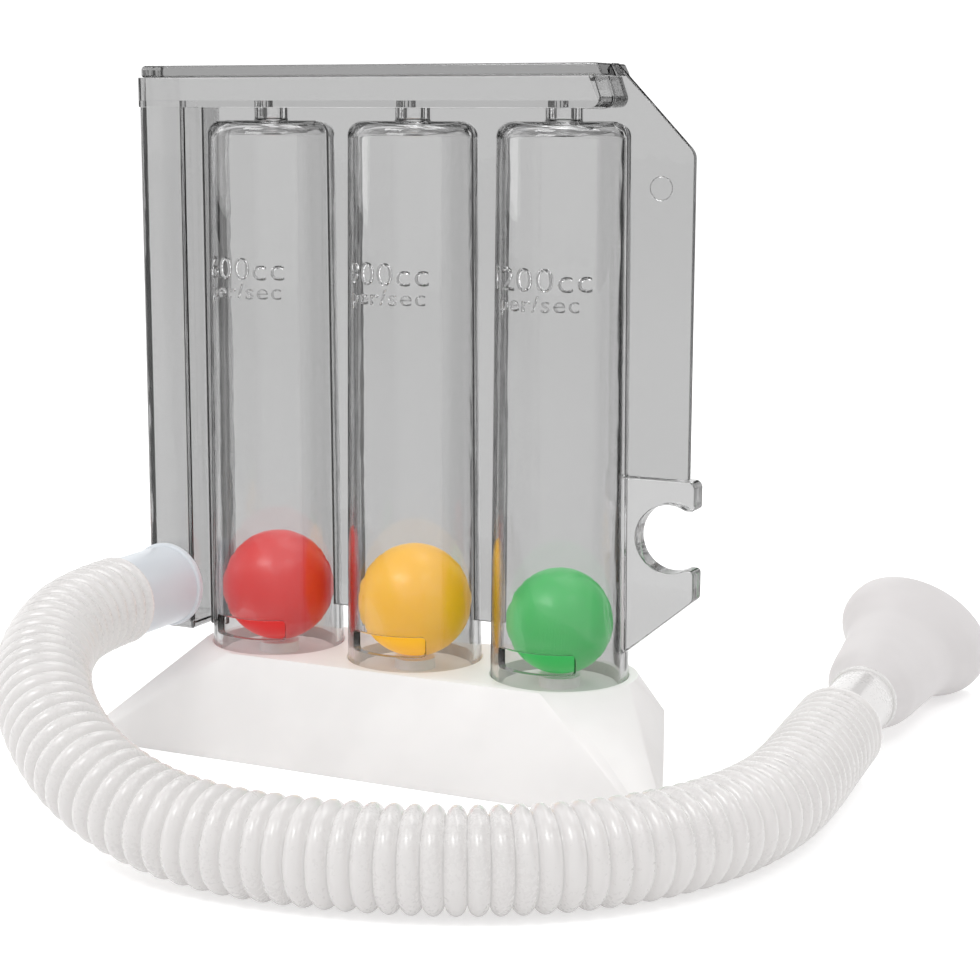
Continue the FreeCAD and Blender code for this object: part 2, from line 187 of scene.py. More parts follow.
class ClearSettings(bpy.types.PropertyGroup):
    """Sizes and finish of the clear moulding"""

    tube_top: length("Tube top", 28.2, "Outside width of a tube below its shoulder")
    tube_wall: length("Tube wall", 1.2, "Wall of a tube at its top")
    foot_wall: length("Foot wall", 1.7, "Wall of a tube at its foot")
    shoulder: length("Shoulder", 3.0, "Radius of the rounded shoulder at a tube's top")
    neck: length("Neck", 7.6, "Outside width of the neck over each tube")
    neck_bore: length("Neck bore", 4.6, "Air hole in each neck")
    neck_length: length("Neck length", 2.9, "Height of each neck")
    neck_fillet: length("Neck fillet", 0.6, "Radius at the foot of each neck")
    window_width: length("Window width", 18.0, "Width of the air window at a tube's foot")
    window_height: length("Window height", 4.4, "Height of the air window")
    window_sill: length("Window sill", 3.2, "Height of the air window over the base")
    window_corner: length("Window corner", 1.0, "Corner radius of the air window")
    duct_wall: length("Duct wall", 1.5, "Wall of the air duct")
    duct_corner: length("Duct corner", 0.8, "Rounding of the duct's upright edges")
    duct_chamfer: length("Duct chamfer", 0.7, "Chamfer round the duct's foot")
    tray_wall: length("Tray wall", 1.4, "Wall of the channel over the tubes")
    tray_corner: length("Tray corner", 2.0, "Radius of the channel's lower right corner")
    tray_slant: length("Tray slant", 2.2, "Lean of the channel's right end")
    lid_corner: length("Lid corner", 1.0, "Radius of the lid's upper corners")
    lid_slant: length("Lid slant", 1.3, "Lean of the lid's right end")
    port_outside: length("Port", 14.8, "Outside width of the port's nose")
    port_bore: length("Port bore", 11.8, "Bore of the port's nose")
    port_throat: length("Port throat", 8.2, "Hole through the duct's wall")
    port_flange: length("Port flange", 1.2, "Thickness of the port's flange")
    fin_corner: length("Fin corner", 3.0, "Radius of the fin's upper corner")
    fin_slope_foot: length("Fin slope foot", 132.0, "Height at which the fin's sloping edge starts")
    clip_bore: length("Clip bore", 14.4, "Width of the round seat in the clip")
    clip_reach: length("Clip reach", 25.4, "Distance of the seat's middle from the last tube's axis")
    clip_height: length("Clip height", 52.6, "Height of the middle of the clip's seat")
    clip_mouth: length("Clip mouth", 6.2, "Half the height of the clip's mouth")
    clip_lip: length("Clip lip", 12.6, "Drop from the seat's middle to the foot of the lower lip")
    mark_width: length("Flow mark width", 19.9, "Width of a mark of five figures, round the tube")
    mark_height: length("Flow mark height", 4.8, "Height of its figures")
    mark_top: length("Flow mark place", 103.9, "Height of the first line over the floor")
    mark_relief: length("Flow mark relief", 0.3, "How far the figures stand out of the tube")
    line_drop: length("Line drop", 4.15, "Distance from the first line of a mark to the second one")
    letter_share: share("Letter share", 0.7, "Height of the second line's letters beside the figures")
    edge: length("Edge rounding", 0.3, "Rounding of the moulded edges")
    joint_gap: length("Joint line", 0.04, "Gap left where two clear pieces meet")
    wall_tint: colour("Wall tint", (0.80, 0.80, 0.80), "What a hollow piece's wall lets through")
    panel_tint: colour("Panel tint", (0.62, 0.62, 0.62), "What a flat panel lets through")
    lid_tint: colour("Lid tint", (0.57, 0.57, 0.57), "What the glued lid lets through")
    density: number("Density", 25.0, "How strongly thick plastic darkens, per metre")
    roughness: share("Roughness", 0.03, "Roughness of the polished faces")


class BallSettings(bpy.types.PropertyGroup):
    """Colours of the balls"""

    red: colour("Red", (0.69, 0.010, 0.011), "Colour of the ball in the first tube")
    yellow: colour("Yellow", (0.96, 0.50, 0.006), "Colour of the ball in the second tube")
    green: colour("Green", (0.022, 0.45, 0.085), "Colour of the ball in the third tube")
    seam: length("Seam", 0.05, "Height of the weld bead round a ball")


class BaseSettings(bpy.types.PropertyGroup):
    """Sizes and colour of the base"""

    front_width: length("Front width", 141.0, "Width of the foot at the front")
    back_width: length("Back width", 106.0, "Width of the foot at the back")
    corner: length("Corner", 4.0, "Corner radius of the foot")
    skirt_front: length("Skirt front", 1.8, "Height of the upright skirt at the front")
    skirt_back: length("Skirt back", 11.0, "Height of the upright skirt at the back")
    plateau_margin: length("Plateau margin", 1.8, "Rim of the flat top round the tubes")
    plateau_flat: length("Plateau flat", 1.6, "Straight part of the flat top's ends")
    wall: length("Wall", 1.8, "Wall of the base")
    socket_fit: length("Socket fit", 0.15, "Gap round each tube in its groove")
    seat_recess: length("Seat recess", 2.3, "Depth of the sunken floor in each tube")
    seat_post: length("Seat post", 9.0, "Width of the post under each ball")
    edge: length("Edge rounding", 0.9, "Rounding of the creases")
    colour: colour("Colour", (0.685, 0.670, 0.663), "Colour of the white plastic")
    # Painted light: an even emission in the base's colour that lifts its shade, most of all in the sunken
    # seats and on the plateau round the tubes.
    painted_glow: number("Glow", 0.15, "Light that the thin white wall passes on")


class HoseSettings(bpy.types.PropertyGroup):
    """Sizes and colours of the hose, its cuffs and the mouthpiece"""

    diameter: length("Hose width", 19.6, "Width over the ridges")
    pitch: length("Ridge pitch", 3.8, "Distance from ridge to ridge")
    depth: length("Ridge depth", 2.0, "Depth of the grooves")
    crest_shape: number("Crest shape", 0.55, "Lower is a broader crest with a sharper groove")
    wall: length("Hose wall", 0.7, "Wall of the hose")
    start_cuff: length("Port cuff", 18.0, "Outside width of the cuff on the port")
    start_bore: length("Port cuff bore", 15.0, "Bore of the cuff on the port")
    end_cuff: length("Mouth cuff", 14.4, "Outside width of the cuff at the mouth end")
    end_bore: length("Mouth cuff bore", 11.6, "Bore of the cuff at the mouth end")
    end_cuff_length: length("Mouth cuff length", 24.0, "Length of the cuff at the mouth end")
    end_shoulder: length("Mouth cuff shoulder", 18.0, "Width of the shoulder that closes the hose's end")
    end_shoulder_thickness: length("Shoulder thickness", 1.2, "Thickness of that shoulder")
    rim_rise: length("Cuff rim rise", 0.6, "How far a cuff's rim stands out")
    rim_width: length("Cuff rim width", 1.8, "Width of a cuff's rim")
    spigot: length("Spigot", 11.4, "Outside width of the mouthpiece's push-in end")
    spigot_length: length("Spigot length", 14.0, "Length of the mouthpiece's push-in end")
    mouthpiece_wall: length("Mouthpiece wall", 1.3, "Wall of the mouthpiece")
    mouthpiece_roll: angle("Mouthpiece roll", 27.0, "Turn of the oval mouth about its own axis")
    around: IntProperty(name="Steps round", description="Faces round the hose", default=56, min=12)
    along: IntProperty(name="Steps per ridge", description="Rings of faces in one ridge", default=12, min=6)
    colour: colour("Hose colour", (0.362, 0.354, 0.350), "Colour of the soft hose")
    cuff_colour: colour("Cuff colour", (0.335, 0.352, 0.372), "Colour of the cuff on the port")
    mouth_colour: colour("Mouthpiece colour", (0.350, 0.338, 0.338), "Colour of the mouthpiece")
    # Painted light: an even emission that flattens the shading of the hose, its cuffs and the mouthpiece.
    painted_glow: number("Glow", 0.75, "Light that comes through the thin milky wall")


class StageSettings(bpy.types.PropertyGroup):
    """Camera, floor and light"""

    camera_place: FloatVectorProperty(
        name="Camera",
        description="Place of the camera",
        default=(0.21521, -0.40568, 0.13907),
        unit="LENGTH",
    )
    azimuth: angle("Azimuth", 25.547, "Turn of the view from the front")
    elevation: angle("Elevation", 9.9, "How far the view looks down")
    roll: angle("Roll", 0.195, "Tilt of the picture")
    lens: number("Lens", 78.62, "Focal length in millimetres on a 36 mm sensor")
    floor_colour: colour("Floor", (0.90, 0.90, 0.90), "Colour of the floor")
    bright: number("Bright", 1.12, "Brightness of the surroundings in reflections")
    fill: number("Fill", 0.85, "Brightness of the surroundings as a light")
    behind: number("Behind", 0.83, "Brightness of the surroundings seen through clear plastic")
    dark: number("Dark", 0.03, "Brightness of the dark strips of the surroundings")


# Mesh helpers, whose sizes are in metres and whose angles are in degrees


def sleeve(bm, rings, closed):
    """Joins rings of vertices by faces, and the last ring to the first one if closed."""
    pairs = list(zip(rings, rings[1:]))
    if closed:
        pairs.append((rings[-1], rings[0]))
    for lower, upper in pairs:
        count = max(len(lower), len(upper))
        for k in range(count):
            corners = [
                lower[k % len(lower)],
                lower[(k + 1) % len(lower)],
                upper[(k + 1) % len(upper)],
                upper[k % len(upper)],
            ]
            corners = list(dict.fromkeys(corners))
            if len(corners) > 2:
                bm.faces.new(corners)


def outward(bm):
    bmesh.ops.recalc_face_normals(bm, faces=bm.faces)
    return bm


def lathe(profile, place, axis=UP, segments=144, closed=True):
    """Turns (radius, height) points about an axis; a point of radius 0 closes the form."""
    bm = bmesh.new()
    rings = []
    for radius, height in profile:
        if radius == 0:
            rings.append([bm.verts.new((0, 0, height))])
            continue
        turns = [2 * math.pi * k / segments for k in range(segments)]
        rings.append([bm.verts.new((radius * math.cos(t), radius * math.sin(t), height)) for t in turns])
    sleeve(bm, rings, closed)
    turn = UP.rotation_difference(Vector(axis)).to_matrix().to_4x4()
    bm.transform(Matrix.Translation(place) @ turn)
    return outward(bm)


def disc(radius, low, high, place, axis=UP):
    return lathe([(0, low), (radius, low), (radius, high), (0, high)], place, axis, 96, False)


def arc(centre, radius, start, stop, steps=8):
    """(radius, height) points of an arc, with its angles in degrees from the outward direction."""
    points = []
    for k in range(steps + 1):
        turn = math.radians(start + (stop - start) * k / steps)
        points.append((centre[0] + radius * math.cos(turn), centre[1] + radius * math.sin(turn)))
    return points


def corner_points(corners, i, radius, steps=None):
    """Points of the arc that rounds one corner of a closed outline."""
    here = Vector(corners[i])
    back = (Vector(corners[i - 1]) - here).normalized()
    ahead = (Vector(corners[(i + 1) % len(corners)]) - here).normalized()
    half = back.angle(ahead) / 2
    centre = here + (back + ahead).normalized() * (radius / math.sin(half))
    arm = here + back * (radius / math.tan(half)) - centre
    side = 1 if back.x * ahead.y - back.y * ahead.x < 0 else -1
    sweep = math.pi - 2 * half
    steps = steps or max(2, math.ceil(math.degrees(sweep) / ARC_STEP))
    return [centre + Matrix.Rotation(side * sweep * k / steps, 2) @ arm for k in range(steps + 1)]


def rounded(corners, radii):
    """Points of a closed outline, with an arc at each corner whose radius isn't 0."""
    points = []
    for i, radius in enumerate(radii):
        points += corner_points(corners, i, radius) if radius else [Vector(corners[i])]
    return points


def corner_ring(bm, corners, radius, height_at, steps=24):
    """Vertices of a ring whose corners are arcs of as many points, at height_at(y)."""
    points = []
    for i in range(len(corners)):
        points += corner_points(corners, i, radius, steps)
    return [bm.verts.new((point.x, point.y, height_at(point.y))) for point in points]


def plate(points, front, back):
    """An upright plate with its outline given as (x, z), from y = front to y = back."""
    bm = bmesh.new()
    rings = [[bm.verts.new((x, y, z)) for x, z in points] for y in (front, back)]
    sleeve(bm, rings, False)
    bm.faces.new(rings[0])
    bm.faces.new(rings[1])
    return outward(bm)


def block(low, high):
    x0, y0, z0 = low
    x1, y1, z1 = high
    return plate([(x0, z0), (x1, z0), (x1, z1), (x0, z1)], y0, y1)


def as_object(name, bm):
    mesh = bpy.data.meshes.new(name)
    bm.to_mesh(mesh)
    bm.free()
    made = bpy.data.objects.new(name, mesh)
    bpy.context.scene.collection.objects.link(made)
    return made


def mesh_of(curve):
    """The mesh of a curve or a text, which is then removed."""
    carrier = bpy.data.objects.new("carrier", curve)
    bpy.context.scene.collection.objects.link(carrier)
    graph = bpy.context.evaluated_depsgraph_get()
    mesh = bpy.data.meshes.new_from_object(carrier.evaluated_get(graph))
    bpy.data.objects.remove(carrier)
    bpy.data.curves.remove(curve)
    return mesh


def combine(piece, tool_mesh, operation="DIFFERENCE"):
    """Cuts the tool from the piece, or joins it on, and keeps the result."""
    tool = as_object("tool", tool_mesh)
    change = piece.modifiers.new("change", "BOOLEAN")
    change.operation = operation
    change.solver = "EXACT"
    change.object = tool
    graph = bpy.context.evaluated_depsgraph_get()
    made = bpy.data.meshes.new_from_object(piece.evaluated_get(graph))
    piece.modifiers.clear()
    old = piece.data
    piece.data = made
    made.name = piece.name
    bpy.data.meshes.remove(old)
    bpy.data.objects.remove(tool)


def soften_edges(piece, width, angle=40.0, segments=3):
    """Rounds the edges that turn by more than the angle and keeps the flat faces flat."""
    bevel = piece.modifiers.new("edges", "BEVEL")
    bevel.width = width
    bevel.segments = segments
    bevel.limit_method = "ANGLE"
    bevel.angle_limit = math.radians(angle)
    bevel.harden_normals = True
    bevel.use_clamp_overlap = True


def paint_joint_shade(piece, material, left_only=False):
    """Gives the faces that meet a tube, and so face left or right, a near-black material: painted shade
    where clear pieces meet.
    """
    piece.data.materials.append(material)
    for face in piece.data.polygons:
        side = face.normal.x
        if side < -STEEP or (side > STEEP and not left_only):
            face.material_index = 1


def finish_piece(piece, material, body, nodes=()):
    """Gives a piece its material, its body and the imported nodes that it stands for."""
    piece.data.materials.clear()
    piece.data.materials.append(material)
    piece.data.shade_smooth()
    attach(piece, body)
    if nodes:
        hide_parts(*nodes)
    return piece


# Shader helpers


class Wire:
    """An output socket that can be used in sums."""

    def __init__(self, shader, socket):
        self.shader = shader
        self.socket = socket

    def sum(self, operation, *values):
        settings = {"operation": operation}
        return self.shader.node("ShaderNodeMath", settings, dict(enumerate(values))).out(0)

    def __add__(self, other):
        return self.sum("ADD", self, other)

    def __sub__(self, other):
        return self.sum("SUBTRACT", self, other)

    def __mul__(self, other):
        return self.sum("MULTIPLY", self, other)

    def __rsub__(self, other):
        return self.sum("SUBTRACT", other, self)

    __radd__ = __add__

    def over(self, low, high):
        """This value's place between low and high, from 0 to 1."""
        settings = {"interpolation_type": "SMOOTHSTEP"}
        return self.shader.node("ShaderNodeMapRange", settings, {0: self, 1: low, 2: high}).out(0)


class Made:
    """A node that was made, with its outputs as wires."""

    def __init__(self, shader, node):
        self.shader = shader
        self.node = node

    def out(self, name):
        return Wire(self.shader, self.node.outputs[name])


class Shader:
    """The node tree of a material or a world."""

    def __init__(self, tree):
        self.tree = tree
        tree.nodes.clear()

    def node(self, kind, settings=None, values=None):
        """Makes a node, sets it, and gives its sockets their values or links."""
        made = self.tree.nodes.new(kind)
        for name, value in (settings or {}).items():
            setattr(made, name, value)
        for name, value in (values or {}).items():
            if isinstance(value, Wire):
                self.tree.links.new(value.socket, made.inputs[name])
            else:
                made.inputs[name].default_value = value
        return Made(self, made)

    def place(self, scale=(1, 1, 1)):
        """The object's own coordinates in metres, stretched."""
        point = self.node("ShaderNodeTexCoord").out("Object")
        return self.node("ShaderNodeMapping", {}, {"Vector": point, "Scale": scale}).out(0)

    def noise(self, scale, detail=2.0, roughness=0.5, stretch=(1, 1, 1)):
        values = {"Vector": self.place(stretch), "Scale": scale, "Detail": detail, "Roughness": roughness}
        return self.node("ShaderNodeTexNoise", {}, values).out(0)

    def mix_colour(self, factor, first, second):
        values = {0: factor, 6: first, 7: second}
        return self.node("ShaderNodeMix", {"data_type": "RGBA"}, values).out(2)

    def blend(self, factor, first, second):
        return self.node("ShaderNodeMixShader", {}, {0: factor, 1: first, 2: second}).out(0)

    def open_way(self):
        return self.node("ShaderNodeBsdfTransparent").out(0)

    def principled(self, values):
        return self.node("ShaderNodeBsdfPrincipled", {}, values).out(0)

    def finish(self, **outputs):
        self.node("ShaderNodeOutputMaterial", {}, outputs)

    def bump(self, height, strength, distance):
        values = {"Height": height, "Strength": strength, "Distance": distance}
        return self.node("ShaderNodeBump", {}, values).out(0)


def new_material(name):
    made = bpy.data.materials.new(name)
    made.use_nodes = True
    return made, Shader(made.node_tree)


def full(colour_value):
    return (*colour_value, 1.0)


def clear_plastic(name, tint):
    """Smoky clear plastic, a little darker where it is thick, with faint moulding waves."""
    made, shader = new_material(name)
    sizes = bpy.context.scene.spirometer_clear
    waves = shader.noise(70.0, detail=2.0, roughness=0.5, stretch=(1, 1, 0.12))
    ripples = shader.noise(420.0, detail=1.0, roughness=0.5, stretch=(1, 1, 0.3))
    scuffs = shader.noise(900.0, detail=4.0, roughness=0.6)
    values = {
        "Base Color": full(tint),
        "Roughness": scuffs.over(0.45, 0.85) * sizes.roughness + 0.008,
        "IOR": 1.57,
        "Transmission Weight": 1.0,
        "Normal": shader.bump(waves + ripples * 0.15, strength=0.25, distance=WAVE_DEPTH),
    }
    body = shader.principled(values)
    open_way = shader.open_way()
    rays = shader.node("ShaderNodeLightPath")
    for light_ray in ("Is Diffuse Ray", "Is Shadow Ray"):
        body = shader.blend(rays.out(light_ray), body, open_way)
    absorption = {"Color": (0.0, 0.0, 0.0, 1.0), "Density": sizes.density}
    smoke = shader.node("ShaderNodeVolumeAbsorption", {}, absorption).out(0)
    shader.finish(Surface=body, Volume=smoke)
    return made


def solid_plastic(name, base, roughness, subsurface, radius, grain, coat=0.0, painted_glow=0.0):
    """Opaque plastic with a fine moulded grain; any emission is painted light, which lifts its shade evenly
    in its own colour.
    """
    made, shader = new_material(name)
    clouds = shader.noise(38.0, detail=3.0, roughness=0.55)
    fine = shader.noise(1600.0, detail=3.0, roughness=0.6)
    deep = tuple(value * 0.93 for value in base)
    values = {
        "Base Color": shader.mix_colour(clouds.over(0.35, 0.7), full(deep), full(base)),
        "Roughness": roughness + (clouds - 0.5) * 0.10 + (fine - 0.5) * 0.12,
        "Subsurface Weight": subsurface,
        "Subsurface Radius": radius,
        "Subsurface Scale": 1.0,
        "Coat Weight": coat,
        "Coat Roughness": 0.12,
        # Painted light: an emission in the plastic's own colour.
        "Emission Color": full(base),
        "Emission Strength": painted_glow,
        "Normal": shader.bump(fine + clouds * 0.4, strength=grain, distance=GRAIN_DEPTH),
    }
    shader.finish(Surface=shader.principled(values))
    return made


def milky_plastic(name, base, roughness, coat):
    """Soft milky plastic: light spreads in its thin wall, and its emission is painted light that flattens
    the shade of its ridges and folds.
    """
    made, shader = new_material(name)
    clouds = shader.noise(60.0, detail=3.0, roughness=0.55)
    fine = shader.noise(1300.0, detail=3.0, roughness=0.6)
    pale = tuple(min(1.0, value * 1.06) for value in base)
    values = {
        "Base Color": shader.mix_colour(clouds.over(0.3, 0.7), full(base), full(pale)),
        "Roughness": roughness + (clouds - 0.5) * 0.08 + (fine - 0.5) * 0.08,
        "IOR": 1.45,
        "Subsurface Weight": 0.6,
        "Subsurface Radius": (1.0, 0.95, 0.93),
        "Subsurface Scale": MILKY_SPREAD,
        "Coat Weight": coat,
        "Coat Roughness": 0.12,
        # Painted light: an emission in the plastic's own colour that evens out the shade of ridges and
        # folds.
        "Emission Color": full(base),
        "Emission Strength": bpy.context.scene.spirometer_hose.painted_glow,
        "Normal": shader.bump(fine + clouds * 0.5, strength=0.06, distance=MILKY_GRAIN_DEPTH),
    }
    shader.finish(Surface=shader.principled(values))
    return made


# Clear moulding


def tube_radius(height):
    """Outside radius of a tube's tapered side at a height over the floor."""
    sizes = bpy.context.scene.spirometer_clear
    foot = (TUBE_HIGH.x - TUBE_LOW.x) / 2
    side_top = TUBE_HIGH.z - sizes.neck_length - sizes.shoulder
    part = (height - TUBE_LOW.z) / (side_top - TUBE_LOW.z)
    return foot + (sizes.tube_top / 2 - foot) * part


def tube_side(foot_inset=0.0, inset=0.0, neck=None):
    """(radius, height) points up a tube's side, over its shoulder and up its neck."""
    sizes = bpy.context.scene.spirometer_clear
    top = TUBE_HIGH.z - sizes.neck_length - inset
    bend = sizes.shoulder - inset / 2
    side = sizes.tube_top / 2 - inset
    points = [((TUBE_HIGH.x - TUBE_LOW.x) / 2 - foot_inset, TUBE_LOW.z)]
    points += arc((side - bend, top - bend), bend, 0, 90, 10)
    if neck is None:
        neck = sizes.neck / 2
        points += arc((neck + sizes.neck_fillet, top + sizes.neck_fillet), sizes.neck_fillet, 270, 180, 4)
    else:
        points.append((neck, top))
    points.append((neck, TUBE_HIGH.z - sizes.joint_gap))
    return points


def make_tube(colour_name):
    sizes = bpy.context.scene.spirometer_clear
    middle = axis_foot(colour_name)
    outside = tube_side()
    inside = tube_side(sizes.foot_wall, sizes.tube_wall, sizes.neck_bore / 2)
    tube = as_object("clear_tube_" + colour_name, lathe(outside + inside[::-1], middle))
    combine(tube, window_form(middle))
    soften_edges(tube, sizes.edge * 0.6, angle=42, segments=2)
    return tube


def window_form(middle):
    """The air window's cutter: its sides run towards the tube's axis, and its corners are rounded."""
    sizes = bpy.context.scene.spirometer_clear
    radius = tube_radius(BASE_HIGH.z)
    half = math.asin(sizes.window_width / 2 / radius)
    corner = sizes.window_corner
    sill = BASE_HIGH.z + sizes.window_sill
    head = sill + sizes.window_height
    corner_steps = 6
    steps = 20
    side = []
    for k in range(corner_steps + 1):
        turn = math.pi / 2 * k / corner_steps
        side.append((half - corner * (1 - math.cos(turn)) / radius, corner * (1 - math.sin(turn))))
    places = [(-turn, rise) for turn, rise in side]
    last = side[-1][0]
    places += [(last * (2 * k / steps - 1), 0.0) for k in range(1, steps)]
    places += side[::-1]
    bm = bmesh.new()
    rings = []
    inner = radius - 2 * sizes.foot_wall
    outer = radius + sizes.foot_wall
    for turn, rise in places:
        way = Vector((math.sin(turn), -math.cos(turn), 0))
        low = middle + UP * (sill + rise)
        high = middle + UP * (head - rise)
        ring = [low + way * inner, low + way * outer, high + way * outer, high + way * inner]
        rings.append([bm.verts.new(place) for place in ring])
    sleeve(bm, rings, False)
    bm.faces.new(rings[0])
    bm.faces.new(rings[-1])
    return outward(bm)


def flat_words(words):
    """The mesh of a short text, lying in the plane of x and y with its baseline on y = 0."""
    text = bpy.data.curves.new("mark", "FONT")
    text.body = words
    text.align_x = "CENTER"
    text.extrude = 0.5
    text.resolution_u = 4
    text.space_character = 1.08
    return mesh_of(text)


def make_flow_mark(colour_name):
    """Raised figures and letters wrapped round the front of a tube."""
    sizes = bpy.context.scene.spirometer_clear
    middle = axis_foot(colour_name)
    figures, letters = FLOW_MARKS[colour_name]
    figures_width = sizes.mark_width * len(figures) / FULL_FIGURES
    letters_width = sizes.mark_width * SECOND_LINE_SHARE
    rows = [
        (figures, figures_width, 1.0, 0.0),
        (letters, letters_width, sizes.letter_share, sizes.line_drop),
    ]
    bm = bmesh.new()
    figure_height = 0.0
    for words, width, share_of_height, drop in rows:
        flat = flat_words(words)
        xs = [v.co.x for v in flat.vertices]
        figure_height = figure_height or max(v.co.y for v in flat.vertices)
        wide = width / (max(xs) - min(xs))
        high = sizes.mark_height * share_of_height / figure_height
        shift = (max(xs) + min(xs)) / 2
        for v in flat.vertices:
            height = sizes.mark_top - drop + v.co.y * high
            radius = tube_radius(height) + sizes.joint_gap / 2 + (v.co.z + 0.5) * sizes.mark_relief
            turn = (v.co.x - shift) * wide / tube_radius(height)
            v.co = middle + Vector((radius * math.sin(turn), -radius * math.cos(turn), height))
        bm.from_mesh(flat)
        bpy.data.meshes.remove(flat)
    bmesh.ops.remove_doubles(bm, verts=bm.verts, dist=WELD_DISTANCE)
    return as_object("flow_mark_" + colour_name, outward(bm))


def make_web(name, left_colour, right_colour, foot):
    """A thin panel between two tubes, or between the duct and the first tube."""
    sizes = bpy.context.scene.spirometer_clear
    gap = sizes.joint_gap
    top = WEB_HIGH.z - gap
    points = []
    side = [(r, z) for r, z in tube_side() if z > foot]
    side = [(tube_radius(foot), foot)] + side
    side[-1] = (side[-1][0], top)
    if left_colour is None:
        points += [(DUCT_HIGH.x + gap, foot), (DUCT_HIGH.x + gap, top)]
    else:
        points += [(axis_x(left_colour) + r + gap, z) for r, z in side]
    points += [(axis_x(right_colour) - r - gap, z) for r, z in reversed(side)]
    web = as_object(name, plate(points, WEB_LOW.y, WEB_HIGH.y))
    soften_edges(web, sizes.edge * 0.4)
    return web


def make_duct():
    sizes = bpy.context.scene.spirometer_clear
    wall = sizes.duct_wall
    low, high = DUCT_LOW, DUCT_HIGH
    top = high.z - sizes.joint_gap
    bm = bmesh.new()
    rings = []
    for inset, height in ((sizes.duct_chamfer, low.z), (0.0, low.z + sizes.duct_chamfer), (0.0, top)):
        left, right = low.x + inset, high.x - inset
        near, far = low.y + inset, high.y - inset
        corners = [(left, near), (right, near), (right, far), (left, far)]
        rings.append(corner_ring(bm, corners, sizes.duct_corner - inset, lambda y: height, 8))
    sleeve(bm, rings, False)
    bm.faces.new(rings[0])
    bm.faces.new(rings[-1])
    duct = as_object("clear_duct", outward(bm))
    space_high = (high.x - wall, high.y - wall, top + wall)
    combine(duct, block(low + Vector((wall, wall, wall)), space_high))
    throat_place = (box_middle("port").x, low.y + 2 * wall, HOSE_EXIT.z)
    combine(duct, disc(sizes.port_throat / 2, 0, 3 * wall, throat_place, FORWARD))
    soften_edges(duct, sizes.edge * 0.6)
    return duct


def make_port():
    sizes = bpy.context.scene.spirometer_clear
    flange = sizes.port_flange
    nose = PORT_HIGH.y - PORT_LOW.y
    outer = sizes.port_outside / 2
    rim = (PORT_HIGH.x - PORT_LOW.x) / 2
    start = sizes.joint_gap
    profile = [
        (sizes.port_throat / 2, start),
        (rim, start),
        (rim, flange),
        (outer, flange),
        (outer, nose),
        (sizes.port_bore / 2, nose),
        (sizes.port_bore / 2, flange),
        (sizes.port_throat / 2, flange),
    ]
    place = (box_middle("port").x, PORT_HIGH.y, HOSE_EXIT.z)
    port = as_object("hose_port", lathe(profile, place, FORWARD, 96))
    soften_edges(port, sizes.edge)
    return port


def make_tray():
    sizes = bpy.context.scene.spirometer_clear
    wall = sizes.tray_wall
    slant = sizes.tray_slant
    foot, top = TRAY_LOW.z, TRAY_HIGH.z
    left, right = TRAY_LOW.x, TRAY_HIGH.x
    outline = [(left, foot), (right, foot), (right - slant, top), (left, top)]
    shape = rounded(outline, [0, sizes.tray_corner, 0, 0])
    tray = as_object("channel_tray", plate(shape, TRAY_LOW.y, TRAY_HIGH.y))
    over = wall / (top - foot - wall)
    space = [
        (left + wall, foot + wall),
        (right - wall, foot + wall),
        (right - wall - slant * (1 + over), top + wall),
        (left + wall, top + wall),
    ]
    combine(tray, plate(space, TRAY_LOW.y + wall, TRAY_HIGH.y - wall))
    for name in BALL_COLOURS:
        combine(tray, disc(sizes.neck_bore / 2, foot - wall, foot + 2 * wall, axis_foot(name)))
    duct_wall = sizes.duct_wall
    mouth_low = (DUCT_LOW.x + duct_wall, DUCT_LOW.y + duct_wall, foot - wall)
    mouth_high = (DUCT_HIGH.x - duct_wall, DUCT_HIGH.y - duct_wall, foot + 1.5 * wall)
    combine(tray, block(mouth_low, mouth_high))
    soften_edges(tray, sizes.edge)
    return tray


def make_lid():
    sizes = bpy.context.scene.spirometer_clear
    gap = sizes.joint_gap
    foot = TRAY_HIGH.z + gap
    corner = sizes.lid_corner
    left, right, top = LID_LOW.x, LID_HIGH.x, LID_HIGH.z
    outline = [(left, foot), (right, foot), (right - sizes.lid_slant, top), (left, top)]
    shape = rounded(outline, [0, 0, corner, corner])
    lid = as_object("channel_lid", plate(shape, LID_LOW.y, LID_HIGH.y))
    soften_edges(lid, sizes.edge * 1.8)
    return lid


def make_fin():
    """The flat fin, fitted round the last tube and the right ends of the channel and its lid."""
    sizes = bpy.context.scene.spirometer_clear
    gap = sizes.joint_gap
    last = axis_x("green")
    foot = FIN_LOW.z + gap
    under_tray = TRAY_LOW.z - gap
    beside = 1.5 * gap
    points = [(last + tube_radius(foot) + gap, foot)]
    points += [(last + r + gap, z) for r, z in tube_side() if foot < z]
    points[-1] = (points[-1][0], under_tray)
    tray_end = rounded(
        [
            points[-1],
            (TRAY_HIGH.x + beside, under_tray),
            (TRAY_HIGH.x - sizes.tray_slant + beside, TRAY_HIGH.z),
        ],
        [0, sizes.tray_corner + gap, 0],
    )
    points += tray_end[1:]
    points.append((LID_HIGH.x + beside, TRAY_HIGH.z))
    points.append((LID_HIGH.x - sizes.lid_slant + beside, FIN_HIGH.z))
    points += rounded(
        [(LID_HIGH.x, FIN_HIGH.z), (FIN_HIGH.x, sizes.fin_slope_foot), (FIN_HIGH.x, foot)],
        [0, sizes.fin_corner, 0],
    )
    fin = as_object("clear_fin", plate(points, FIN_LOW.y, FIN_HIGH.y))
    soften_edges(fin, sizes.edge)
    return fin


def make_ejector_mark():
    """The faint ring that the moulding's ejector pin leaves on the fin."""
    radius = 0.0024
    relief = 0.00012
    half_line = 0.00014
    lift = 0.00002
    inset = 0.007
    height = 0.1248
    profile = arc((radius, 0), half_line, 0, 180, 6)
    profile = [(r, z * relief / half_line + lift) for r, z in profile]
    place = (FIN_HIGH.x - inset, FIN_LOW.y, height)
    return as_object("ejector_mark", lathe(profile, place, FORWARD, 48))


